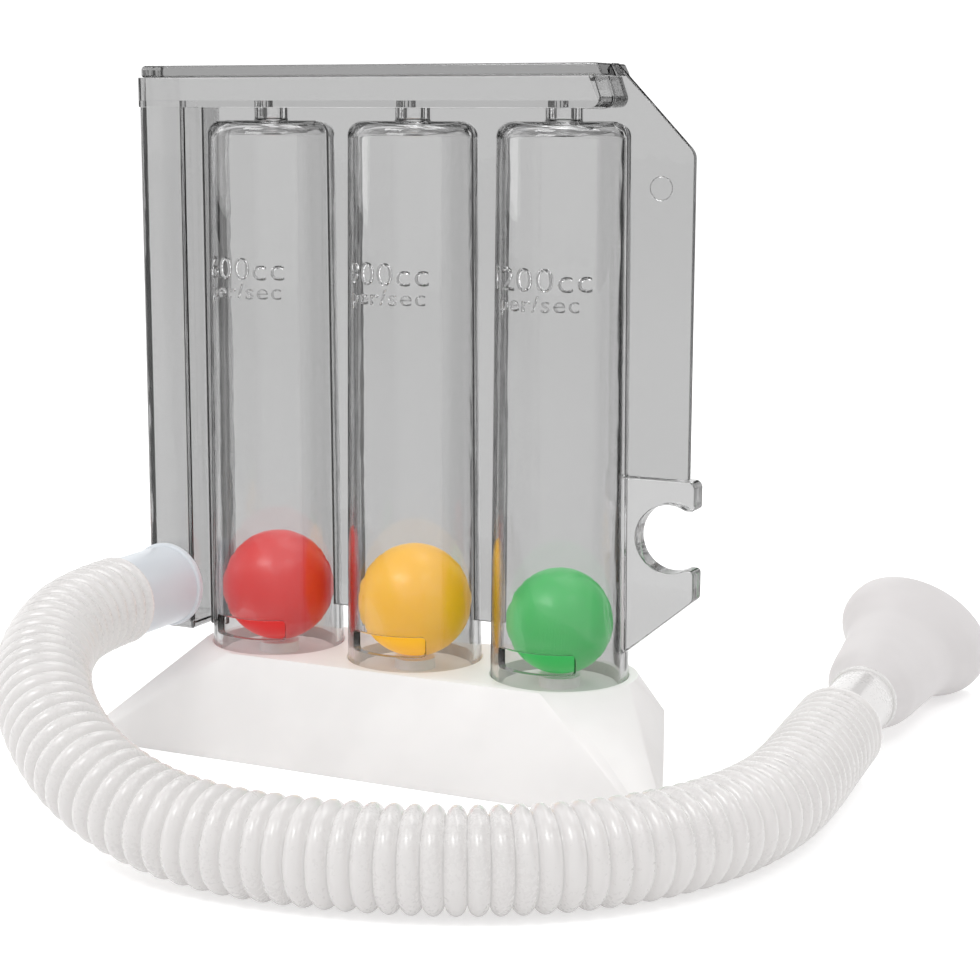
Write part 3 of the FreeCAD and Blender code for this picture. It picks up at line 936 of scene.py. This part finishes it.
def make_clip():
    sizes = bpy.context.scene.spirometer_clear
    gap = sizes.joint_gap
    last = axis_x("green")
    edge = CLIP_HIGH.x
    radius = sizes.clip_bore / 2
    centre = Vector((last + sizes.clip_reach, sizes.clip_height))
    mouth_top = centre.y + sizes.clip_mouth
    mouth_foot = centre.y - sizes.clip_mouth
    lip_foot = centre.y - sizes.clip_lip
    jaw_corner = 0.0016
    jaw_tip = 0.0010
    tip = math.asin(sizes.clip_mouth / radius)
    reach = radius * math.cos(tip)
    top_points = rounded(
        [
            (last + tube_radius(CLIP_HIGH.z) + gap, CLIP_HIGH.z),
            (edge, CLIP_HIGH.z),
            (edge, mouth_top),
            (centre.x + reach, mouth_top),
        ],
        [0, jaw_corner, jaw_tip, 0],
    )
    points = [tuple(point) for point in top_points]
    steps = 48
    for k in range(1, steps):
        turn = tip + (2 * math.pi - 2 * tip) * k / steps
        points.append((centre.x + radius * math.cos(turn), centre.y + radius * math.sin(turn)))
    foot = CLIP_LOW.z
    low_points = rounded(
        [
            (centre.x + reach, mouth_foot),
            (edge, mouth_foot),
            (edge, lip_foot),
            (last + tube_radius(foot) + gap, foot),
        ],
        [0, jaw_tip, jaw_corner, 0],
    )
    points += [tuple(point) for point in low_points]
    clip = as_object("hose_park_clip", plate(points, CLIP_LOW.y, CLIP_HIGH.y))
    soften_edges(clip, sizes.edge * 1.5, angle=30)
    return clip


# White base


def base_rings(bm, inset, top, drop):
    """The foot, the top of the skirt and the plateau of the base's form, moved in by inset."""
    sizes = bpy.context.scene.spirometer_base
    depth = BASE_HIGH.y - BASE_LOW.y
    lean = (sizes.front_width - sizes.back_width) / 2 / depth
    side = inset * math.sqrt(1 + lean * lean)
    front = sizes.front_width / 2 - side - lean * inset
    back = sizes.back_width / 2 - side + lean * inset
    half = depth / 2 - inset
    corners = [(-front, -half), (front, -half), (back, half), (-back, half)]
    radius = sizes.corner - inset
    slope = (sizes.skirt_back - sizes.skirt_front) / depth
    middle = (sizes.skirt_front + sizes.skirt_back) / 2 - drop
    foot = corner_ring(bm, corners, radius, lambda y: 0.0)
    skirt = corner_ring(bm, corners, radius, lambda y: middle + slope * y)
    tube = (TUBE_HIGH.x - TUBE_LOW.x) / 2
    plateau_half = tube + sizes.plateau_margin - inset
    plateau_wide = axis_x("green") + plateau_half
    near, far = ROW_Y - plateau_half, ROW_Y + plateau_half
    flat = [(-plateau_wide, near), (plateau_wide, near), (plateau_wide, far), (-plateau_wide, far)]
    plateau = corner_ring(bm, flat, plateau_half - sizes.plateau_flat / 2, lambda y: top)
    return foot, skirt, plateau


def make_base():
    sizes = bpy.context.scene.spirometer_base
    clear = bpy.context.scene.spirometer_clear
    wall = sizes.wall
    top = BASE_HIGH.z
    bm = bmesh.new()
    foot, skirt, plateau = base_rings(bm, 0.0, top, 0.0)
    inner_foot, inner_skirt, inner_plateau = base_rings(bm, wall, top - wall, wall / 3)
    sleeve(bm, [plateau, skirt, foot, inner_foot, inner_skirt, inner_plateau], False)
    bm.faces.new(plateau)
    bm.faces.new(inner_plateau)
    base = as_object("white_base", outward(bm))
    tube = (TUBE_HIGH.x - TUBE_LOW.x) / 2
    outer = tube + sizes.socket_fit
    collar = outer + 0.8 * wall
    inner = tube - clear.foot_wall - sizes.socket_fit
    groove_foot = TUBE_LOW.z
    collar_foot = groove_foot - wall
    seat_floor = top - sizes.seat_recess
    post = sizes.seat_post / 2
    for name in BALL_COLOURS:
        combine(base, disc(collar, collar_foot, top - wall / 2, axis_foot(name)), "UNION")
    for name in BALL_COLOURS:
        middle = axis_foot(name)
        seat = [(inner, groove_foot), (outer, groove_foot), (outer, top + wall)]
        seat += [(post, top + wall), (post, seat_floor), (inner, seat_floor)]
        combine(base, lathe(seat, middle, UP, 96))
        combine(base, disc(inner - wall, collar_foot - wall, seat_floor - wall, middle))
    soften_edges(base, sizes.edge * 0.35, angle=50, segments=2)
    return base


# Balls


def make_ball(colour_name):
    """A hollow ball of two welded halves, lying with its seam tilted."""
    sizes = bpy.context.scene.spirometer_balls
    low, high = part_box("ball_" + colour_name)
    radius = (high.z - low.z) / 2
    profile = []
    steps = 64
    bead_spread = 1.2
    for k in range(steps + 1):
        turn = -math.pi / 2 + math.pi * k / steps
        bead = sizes.seam * math.exp(-((k - steps / 2) ** 2) / bead_spread) - sizes.seam
        size = radius + bead
        profile.append((abs(size * math.cos(turn)) if 0 < k < steps else 0.0, size * math.sin(turn)))
    form = lathe(profile, (low + high) / 2, SEAM_AXES[colour_name], 96, False)
    return as_object("float_" + colour_name, form)


# Hose, cuffs and mouthpiece


def hose_line():
    """Points read from the route's own smooth curve."""
    curve = bpy.data.curves.new("hose_route", "CURVE")
    curve.dimensions = "3D"
    curve.resolution_u = 48
    spline = curve.splines.new("NURBS")
    spline.points.add(len(HOSE_ROUTE) - 1)
    for point, place in zip(spline.points, HOSE_ROUTE):
        point.co = (*place, 1.0)
    spline.use_endpoint_u = True
    spline.order_u = 3
    mesh = mesh_of(curve)
    line = [v.co.copy() for v in mesh.vertices]
    bpy.data.meshes.remove(mesh)
    return line


def spaced(line, count):
    """The line's length, and count + 1 points at equal distances along it."""
    run = [0.0]
    for a, b in zip(line, line[1:]):
        run.append(run[-1] + (b - a).length)
    points = []
    at = 0
    for k in range(count + 1):
        want = run[-1] * k / count
        while at < len(run) - 2 and run[at + 1] < want:
            at += 1
        part = (want - run[at]) / (run[at + 1] - run[at])
        points.append(line[at].lerp(line[at + 1], part))
    return run[-1], points


def make_hose():
    sizes = bpy.context.scene.spirometer_hose
    line = hose_line()
    total, _ = spaced(line, 2)
    ridges = round(total / sizes.pitch)
    count = ridges * sizes.along
    total, points = spaced(line, count)
    crest = sizes.diameter / 2
    bm = bmesh.new()
    outer = []
    inner = []
    ahead = FORWARD
    across = Vector((1, 0, 0))
    for k, point in enumerate(points):
        if k == 0:
            turned = FORWARD
        elif k == count:
            turned = HOSE_END_AXIS
        else:
            turned = (points[k + 1] - points[k - 1]).normalized()
        across = ahead.rotation_difference(turned) @ across
        across = (across - turned * across.dot(turned)).normalized()
        ahead = turned
        side = ahead.cross(across)
        phase = ((k + sizes.along / 2) % sizes.along) / sizes.along
        swell = math.sin(math.pi * phase) ** sizes.crest_shape
        radius = crest - sizes.depth * (1 - swell)
        wall_radius = radius - sizes.wall
        if k in (0, count):
            wall_radius = sizes.start_cuff / 2 - sizes.wall
        for rings, size in ((outer, radius), (inner, wall_radius)):
            ring = []
            for j in range(sizes.around):
                turn = 2 * math.pi * j / sizes.around
                ring.append(bm.verts.new(point + (across * math.cos(turn) + side * math.sin(turn)) * size))
            rings.append(ring)
    sleeve(bm, outer + inner[::-1], True)
    hose = as_object("breathing_hose", outward(bm))
    return hose, total, points


def rim_points(outer, low, sizes):
    """(radius, distance) points of the rounded bead that ends a cuff, from its foot to its far side."""
    rise = sizes.rim_rise
    points = arc((outer, low + rise), rise, -90, 0, 6)
    points += arc((outer, low + sizes.rim_width - rise), rise, 0, 90, 6)
    return points


def make_start_cuff():
    sizes = bpy.context.scene.spirometer_hose
    long = CUFF_HIGH.y - CUFF_LOW.y
    outer = sizes.start_cuff / 2
    bore = sizes.start_bore / 2
    profile = [(bore, 0.0)] + rim_points(outer, 0.0, sizes) + [(outer, long), (bore, long)]
    place = (HOSE_EXIT.x, CUFF_HIGH.y, HOSE_EXIT.z)
    cuff = as_object("port_cuff", lathe(profile, place, FORWARD, 96))
    soften_edges(cuff, CUFF_EDGE, angle=50, segments=2)
    return cuff


def make_end_cuff():
    """The smaller cuff, with the shoulder that closes the hose's end."""
    sizes = bpy.context.scene.spirometer_hose
    long = sizes.end_cuff_length
    outer = sizes.end_cuff / 2
    bore = sizes.end_bore / 2
    shoulder = sizes.end_shoulder / 2
    thick = sizes.end_shoulder_thickness
    chamfer = thick * 0.4
    profile = [(bore, 0.0), (shoulder, 0.0), (shoulder, thick - chamfer)]
    profile += [(shoulder - chamfer, thick), (outer, thick)]
    profile += rim_points(outer, long - sizes.rim_width, sizes) + [(bore, long)]
    cuff = as_object("mouth_end_cuff", lathe(profile, HOSE_END, HOSE_END_AXIS, 96))
    soften_edges(cuff, CUFF_EDGE, angle=50, segments=2)
    return cuff


def blended(sections, along):
    """Half width and half height at a distance, on a smooth line through the sections."""
    for i in range(len(sections) - 1):
        if along <= sections[i + 1][0]:
            break
    before = sections[max(i - 1, 0)]
    start, stop = sections[i], sections[i + 1]
    after = sections[min(i + 2, len(sections) - 1)]
    span = stop[0] - start[0]
    part = (along - start[0]) / span
    sizes = []
    for n in (1, 2):
        slope_in = (stop[n] - before[n]) / (stop[0] - before[0]) * span
        slope_out = (after[n] - start[n]) / (after[0] - start[0]) * span
        a = 2 * part**3 - 3 * part**2 + 1
        b = part**3 - 2 * part**2 + part
        c = -2 * part**3 + 3 * part**2
        d = part**3 - part**2
        sizes.append(a * start[n] + b * slope_in + c * stop[n] + d * slope_out)
    return sizes


def make_mouthpiece():
    sizes = bpy.context.scene.spirometer_hose
    wall = sizes.mouthpiece_wall
    mouth = MOUTHPIECE_SECTIONS[-1][0]
    spigot = sizes.spigot / 2
    bore = spigot - wall
    end = -sizes.spigot_length
    lip = wall * 0.62
    lip_bulge = 0.25 * lip
    tip = spigot - SPIGOT_TIP_STEP
    seam = spigot + SPIGOT_SEAM_STEP
    shape = [(end, bore, bore), (end, tip, tip), (end + SPIGOT_TIP_LENGTH, spigot, spigot)]
    shape += [(-SPIGOT_SEAM_LENGTH, spigot, spigot), (0.0, seam, seam)]
    steps = 56
    lip_steps = 9
    last = mouth - lip
    for k in range(steps + 1):
        along = last * k / steps
        wide, high = blended(MOUTHPIECE_SECTIONS, along)
        shape.append((along, wide, high))
    wide, high = blended(MOUTHPIECE_SECTIONS, last)
    for k in range(1, lip_steps):
        turn = math.pi * k / lip_steps
        grow = lip * math.cos(turn) - lip
        bulge = lip_bulge * math.sin(turn)
        shape.append((last + lip * math.sin(turn), wide + grow + bulge, high + grow + bulge))
    # The inside, back from the mouth: over its last tenth the wall grows to the lip's thickness
    for k in range(steps, -1, -1):
        along = wall + (last - wall) * k / steps
        wide, high = blended(MOUTHPIECE_SECTIONS, along)
        lip_part = max(0.0, (k / steps - 0.9) * 10)
        thick = wall + (2 * lip - wall) * lip_part
        shape.append((along, wide - thick, high - thick))
    seam = bore + SPIGOT_SEAM_STEP
    shape += [(wall, seam, seam), (wall - SPIGOT_SEAM_STEP, bore, bore)]
    bm = bmesh.new()
    rings = []
    around = 96
    turn_to = UP.rotation_difference(HOSE_END_AXIS)
    roll = Quaternion(UP, sizes.mouthpiece_roll)
    place = HOSE_END + HOSE_END_AXIS * sizes.end_cuff_length
    for along, wide, high in shape:
        ring = []
        for k in range(around):
            turn = 2 * math.pi * k / around
            local = roll @ Vector((wide * math.cos(turn), high * math.sin(turn), along))
            ring.append(bm.verts.new(place + turn_to @ local))
        rings.append(ring)
    sleeve(bm, rings, True)
    return as_object("flared_mouthpiece", outward(bm))


# Operators


class BuildClear(bpy.types.Operator):
    """Makes the tubes, panels, duct, port, channel, lid, fin and clip of the clear moulding"""

    bl_idname = "spirometer.build_clear"
    bl_label = "Clear moulding"

    def execute(self, context):
        sizes = context.scene.spirometer_clear
        tube_plastic = clear_plastic("smoky_clear", sizes.wall_tint)
        plate_plastic = clear_plastic("smoky_clear_panels", sizes.panel_tint)
        lid_plastic = clear_plastic("smoky_clear_lid", sizes.lid_tint)
        # joint_shadow is painted shade: a near-black plastic on the faces where clear pieces meet, standing
        # in for the dark lines that the clear joints show.
        joint_shade = solid_plastic(
            "joint_shadow", (0.02, 0.02, 0.02), roughness=0.5, subsurface=0.0, radius=(0, 0, 0), grain=0.05
        )
        for name in BALL_COLOURS:
            finish_piece(make_tube(name), tube_plastic, "housing", ["tube_" + name])
            finish_piece(make_flow_mark(name), tube_plastic, "housing")
        webs = [
            ("duct", None, "red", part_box("web_duct")[0].z),
            ("left", "red", "yellow", WEB_LOW.z),
            ("right", "yellow", "green", WEB_LOW.z),
        ]
        for name, left, right, foot in webs:
            web = make_web("panel_" + name, left, right, foot)
            finish_piece(web, plate_plastic, "housing", ["web_" + name])
            # Painted shade on the panel's ends, where they meet the tubes.
            paint_joint_shade(web, joint_shade)
        single_pieces = [
            (make_duct, tube_plastic, "clear_body", "air_duct"),
            (make_port, tube_plastic, "clear_body", "port"),
            (make_tray, tube_plastic, "clear_body", "manifold_tray"),
            (make_lid, lid_plastic, "clear_lid", "manifold_lid"),
            (make_clip, tube_plastic, "clear_body", "hose_clip"),
        ]
        for make, plastic, slot, node in single_pieces:
            finish_piece(make(), plastic, "housing", [node])
        fin = finish_piece(make_fin(), plate_plastic, "housing", ["grip_fin"])
        # Painted shade on the fin's left end, where it meets the last tube.
        paint_joint_shade(fin, joint_shade, left_only=True)
        finish_piece(make_ejector_mark(), plate_plastic, "housing")
        return {"FINISHED"}


class BuildBase(bpy.types.Operator):
    """Makes the white base with its three grooves"""

    bl_idname = "spirometer.build_base"
    bl_label = "Base"

    def execute(self, context):
        sizes = context.scene.spirometer_base
        # The base's emission is painted light that lifts its shaded parts evenly.
        white = solid_plastic(
            "white_satin",
            sizes.colour,
            roughness=0.42,
            subsurface=0.12,
            radius=(0.002, 0.0018, 0.0016),
            grain=0.08,
            painted_glow=sizes.painted_glow,
        )
        finish_piece(make_base(), white, "housing", ["base"])
        return {"FINISHED"}


class BuildBalls(bpy.types.Operator):
    """Makes the three loose balls"""

    bl_idname = "spirometer.build_balls"
    bl_label = "Balls"

    def execute(self, context):
        sizes = context.scene.spirometer_balls
        for name in BALL_COLOURS:
            tone = tuple(getattr(sizes, name))
            # Each ball is given a faint emission in its own colour: painted light that brightens it inside
            # its tube.
            plastic = solid_plastic(
                "ball_plastic_" + name,
                tone,
                roughness=0.36,
                subsurface=0.35,
                radius=(0.004, 0.003, 0.002),
                grain=0.06,
                coat=0.2,
                painted_glow=0.24,
            )
            finish_piece(make_ball(name), plastic, name + "_float", ["ball_" + name])
        return {"FINISHED"}


class BuildHose(bpy.types.Operator):
    """Makes the corrugated hose, its cuffs and the mouthpiece"""

    bl_idname = "spirometer.build_hose"
    bl_label = "Hose and mouthpiece"

    def execute(self, context):
        sizes = context.scene.spirometer_hose
        soft = milky_plastic("soft_hose_plastic", sizes.colour, roughness=0.28, coat=0.5)
        cuff = milky_plastic("soft_cuff_plastic", sizes.cuff_colour, roughness=0.34, coat=0.2)
        frosted = milky_plastic("frosted_mouth_plastic", sizes.mouth_colour, roughness=0.55, coat=0.0)
        hose, long, points = make_hose()
        finish_piece(hose, soft, "housing", ["hose"])
        start = finish_piece(make_start_cuff(), cuff, "housing", ["hose_cuff"])
        end = finish_piece(make_end_cuff(), soft, "housing", ["mouth_cuff"])
        mouth = finish_piece(make_mouthpiece(), frosted, "mouth_end", ["mouthpiece"])
        return {"FINISHED"}


class BuildStage(bpy.types.Operator):
    """Makes the camera, the pale floor and the studio light"""

    bl_idname = "spirometer.build_stage"
    bl_label = "Stage"

    def execute(self, context):
        sizes = context.scene.spirometer_stage
        scene = context.scene
        make_camera(scene, sizes)
        make_floor(sizes)
        make_lamps()
        make_world(scene, sizes)
        scene.view_settings.view_transform = "Standard"
        scene.view_settings.look = "None"
        scene.cycles.max_bounces = 32
        scene.cycles.transmission_bounces = 32
        scene.cycles.transparent_max_bounces = 32
        scene.cycles.diffuse_bounces = 5
        scene.cycles.glossy_bounces = 8
        scene.cycles.caustics_reflective = False
        scene.cycles.caustics_refractive = True
        scene.cycles.use_denoising = True
        return {"FINISHED"}


def make_camera(scene, sizes):
    lens = bpy.data.cameras.new("camera")
    lens.lens = sizes.lens
    lens.sensor_width = 36.0
    lens.clip_start = 0.01
    lens.clip_end = 20.0
    camera = bpy.data.objects.new("camera", lens)
    scene.collection.objects.link(camera)
    flat = math.cos(sizes.elevation)
    ahead = Vector(
        (-math.sin(sizes.azimuth) * flat, math.cos(sizes.azimuth) * flat, -math.sin(sizes.elevation))
    )
    camera.location = sizes.camera_place
    camera.rotation_mode = "QUATERNION"
    camera.rotation_quaternion = ahead.to_track_quat("-Z", "Y") @ Quaternion(UP, sizes.roll)
    scene.camera = camera


def dark_strips(shader, way, azimuth):
    """Upright dark strips round the scene, from 0 to 1, by the turn from the line of sight."""
    parts = shader.node("ShaderNodeSeparateXYZ", {}, {0: way})
    heading = {0: parts.out(0), 1: parts.out(1)}
    turn = shader.node("ShaderNodeMath", {"operation": "ARCTAN2"}, heading).out(0) + azimuth

    def cosine(angle):
        return shader.node("ShaderNodeMath", {"operation": "COSINE"}, {0: angle}).out(0)

    strips_in_turn = 8
    right_strip = math.radians(101.0)
    behind = cosine(turn * strips_in_turn + math.pi).over(0.35, 0.7) * cosine(turn).over(0.1, 0.2)
    right = cosine(turn - right_strip).over(0.90, 0.95)
    return behind + right * 0.85


def make_floor(sizes):
    """A pale floor; clear plastic sees the even surroundings through it."""
    bm = bmesh.new()
    bmesh.ops.create_grid(bm, x_segments=1, y_segments=1, size=6.0)
    floor = as_object("floor", bm)
    made, shader = new_material("pale_floor")
    grain = shader.noise(120.0, detail=3.0, roughness=0.5)
    shade = tuple(value * 0.985 for value in sizes.floor_colour)
    rays = shader.node("ShaderNodeLightPath")
    values = {
        "Base Color": shader.mix_colour(grain, full(shade), full(sizes.floor_colour)),
        "Roughness": 0.85 + grain * 0.1,
        "Specular IOR Level": 0.2,
        "Emission Color": (1.0, 1.0, 1.0, 1.0),
        "Emission Strength": rays.out("Is Camera Ray") * 0.35,
    }
    body = shader.principled(values)
    shader.finish(Surface=shader.blend(rays.out("Is Transmission Ray"), body, shader.open_way()))
    floor.data.materials.append(made)


def make_lamps():
    """Soft boxes: name, place, width and height in metres, power in watts."""
    aim = Vector((0.0, 0.0, 0.07))
    boxes = [
        ("softbox_left", (-0.25, -0.80, 1.10), 0.65, 0.35, 5.0),
        ("softbox_right", (0.70, -0.28, 1.15), 0.45, 0.25, 1.5),
        ("softbox_side", (-1.20, -0.30, 0.50), 0.8, 0.8, 2.4),
        ("softbox_top", (0.1, 0.45, 1.25), 0.8, 0.5, 3.0),
    ]
    for name, place, wide, high, power in boxes:
        data = bpy.data.lights.new(name, "AREA")
        data.shape = "RECTANGLE"
        data.size = wide
        data.size_y = high
        data.energy = power
        lamp = bpy.data.objects.new(name, data)
        lamp.location = place
        lamp.rotation_mode = "QUATERNION"
        lamp.rotation_quaternion = (aim - Vector(place)).to_track_quat("-Z", "Y")
        bpy.context.scene.collection.objects.link(lamp)


def make_world(scene, sizes):
    """Bright surroundings, with upright dark strips for the dark lines in the clear plastic."""
    world = bpy.data.worlds.new("studio")
    world.use_nodes = True
    scene.world = world
    shader = Shader(world.node_tree)
    way = shader.node("ShaderNodeTexCoord").out("Generated")
    rays = shader.node("ShaderNodeLightPath")
    spread = rays.out("Is Diffuse Ray")
    passed = rays.out("Is Transmission Ray")
    level = sizes.bright - passed * (sizes.bright - sizes.behind) - spread * (sizes.bright - sizes.fill)
    strip = dark_strips(shader, way, sizes.azimuth) * (1 - rays.out("Is Camera Ray") - spread)
    strength = level - strip * (level - sizes.dark)
    light = {"Color": (1.0, 1.0, 1.0, 1.0), "Strength": strength}
    back = shader.node("ShaderNodeBackground", {}, light).out(0)
    shader.node("ShaderNodeOutputWorld", {}, {"Surface": back})


class SpirometerPanel(bpy.types.Panel):
    """Lists the steps that build the spirometer"""

    bl_idname = "VIEW3D_PT_spirometer"
    bl_label = "Spirometer"
    bl_space_type = "VIEW_3D"
    bl_region_type = "UI"
    bl_category = "Spirometer"

    def draw(self, context):
        layout = self.layout
        for group in ("clear", "balls", "base", "hose", "stage"):
            settings = getattr(context.scene, "spirometer_" + group)
            box = layout.box()
            box.label(text=group.title())
            for name in settings.__annotations__:
                box.prop(settings, name)
            box.operator("spirometer.build_" + group)


GROUPS = {
    "spirometer_clear": ClearSettings,
    "spirometer_balls": BallSettings,
    "spirometer_base": BaseSettings,
    "spirometer_hose": HoseSettings,
    "spirometer_stage": StageSettings,
}
OPERATORS = (BuildStage, BuildHose, BuildBase, BuildBalls, BuildClear)


def register():
    for name, group in GROUPS.items():
        bpy.utils.register_class(group)
        setattr(bpy.types.Scene, name, PointerProperty(type=group))
    for operator in OPERATORS:
        bpy.utils.register_class(operator)
    bpy.utils.register_class(SpirometerPanel)


def unregister():
    bpy.utils.unregister_class(SpirometerPanel)
    for operator in reversed(OPERATORS):
        bpy.utils.unregister_class(operator)
    for name, group in reversed(GROUPS.items()):
        delattr(bpy.types.Scene, name)
        bpy.utils.unregister_class(group)


def main():
    register()
    bpy.ops.spirometer.build_stage()
    bpy.ops.spirometer.build_hose()
    bpy.ops.spirometer.build_base()
    bpy.ops.spirometer.build_balls()
    bpy.ops.spirometer.build_clear()


if __name__ == "__main__":
    main()
